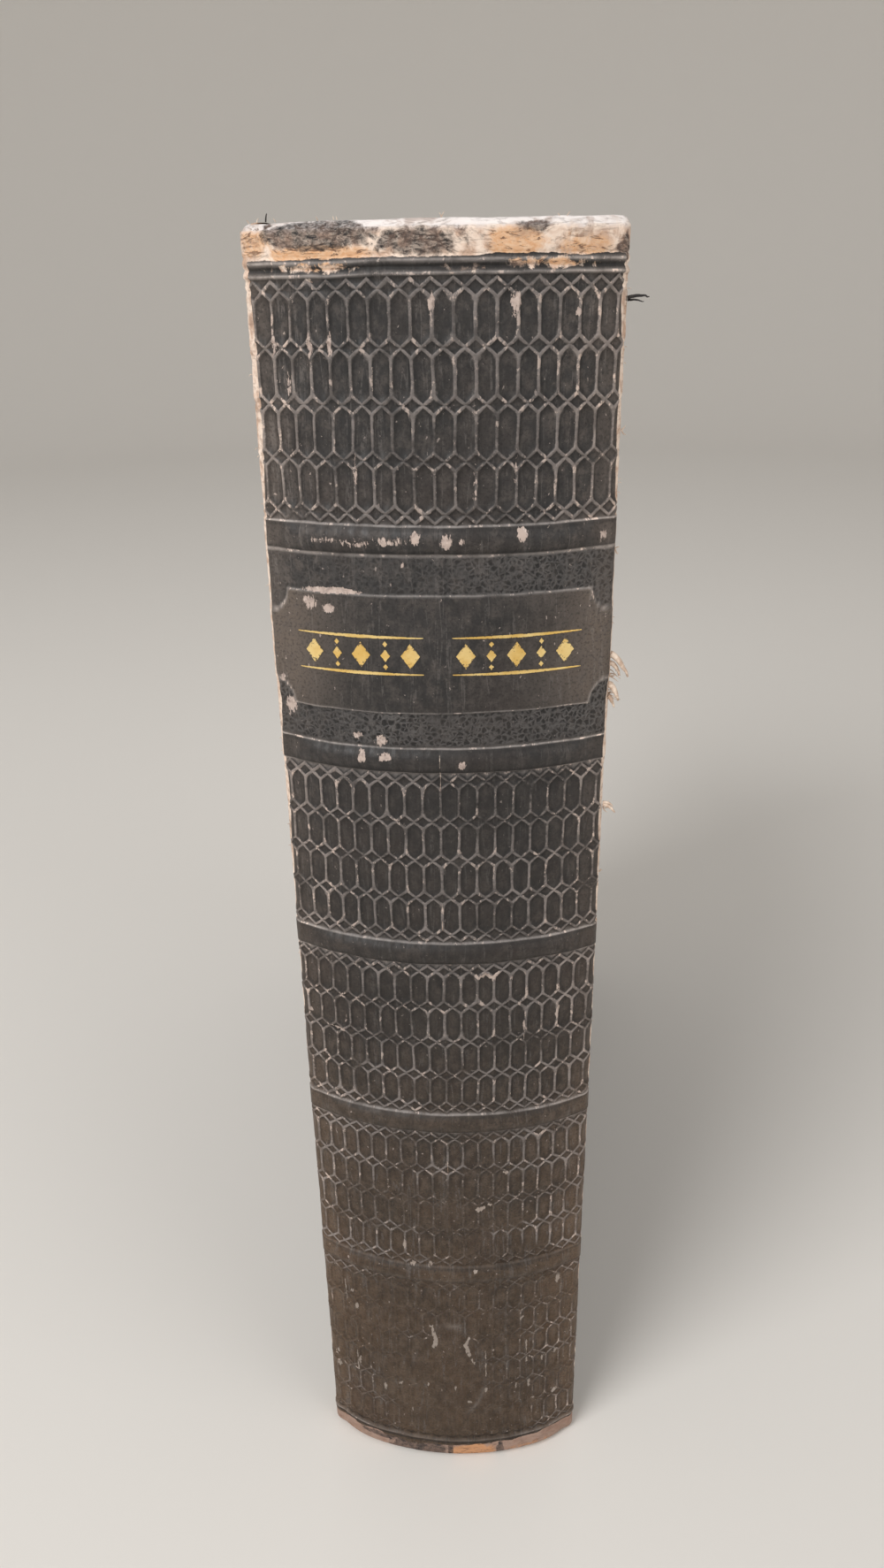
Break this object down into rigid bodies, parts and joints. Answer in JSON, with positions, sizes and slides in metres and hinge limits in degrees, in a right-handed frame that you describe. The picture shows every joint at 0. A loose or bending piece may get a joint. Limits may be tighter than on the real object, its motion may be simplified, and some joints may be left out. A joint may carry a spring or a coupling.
{
  "type": "antique leather book",
  "caption": "Old quarto book bound in dark embossed leather, with a rounded back, raised bands, worn edges and hinged covers that open.",
  "frame": {"origin": "middle of the footprint, at the tail edges that the book stands on", "axes": "+Z from tail to head, -Y out of the spine, +X out of the front cover"},
  "size_m": [0.064, 0.2293, 0.29],
  "materials": {
    "spine_leather": "embossed, rubbed and worn",
    "cover_leather": "grained, worn at the edges",
    "pages": "toned, with cut page edges",
    "endpaper": "plain, toned",
    "board": "plain millboard",
    "card": "plain card",
    "kraft_paper": "plain brown paper",
    "mull": "open cotton weave",
    "cord": "twisted hemp",
    "silk": "wound thread, faded"
  },
  "bodies": {
    "book_block": {"text_block": "pages", "sewing_cord_1": "cord", "sewing_cord_2": "cord", "sewing_cord_3": "cord", "sewing_cord_4": "cord", "sewing_cord_5": "cord", "spine_mull": "mull", "spine_tube": "kraft_paper", "spine_lining": "card", "false_band_1": "card", "false_band_2": "card", "false_band_3": "card", "false_band_4": "card", "false_band_5": "card", "headband_head": "silk", "headband_tail": "silk", "front_flyleaf": "endpaper", "back_flyleaf": "endpaper", "spine_leather": "spine_leather"},
    "front_cover": {"front_board": "board", "front_leather": "cover_leather", "front_pastedown": "endpaper"},
    "back_cover": {"back_board": "board", "back_leather": "cover_leather", "back_pastedown": "endpaper"}
  },
  "joints": [
    {"name": "front_hinge", "type": "hinge", "parent": "book_block", "child": "front_cover", "pos_m": [0.03215, -0.0987, 0.145], "axis": [0, 0, -1], "range_deg": [0, 180]},
    {"name": "back_hinge", "type": "hinge", "parent": "book_block", "child": "back_cover", "pos_m": [-0.03215, -0.0987, 0.145], "axis": [0, 0, 1], "range_deg": [0, 180]}
  ]
}
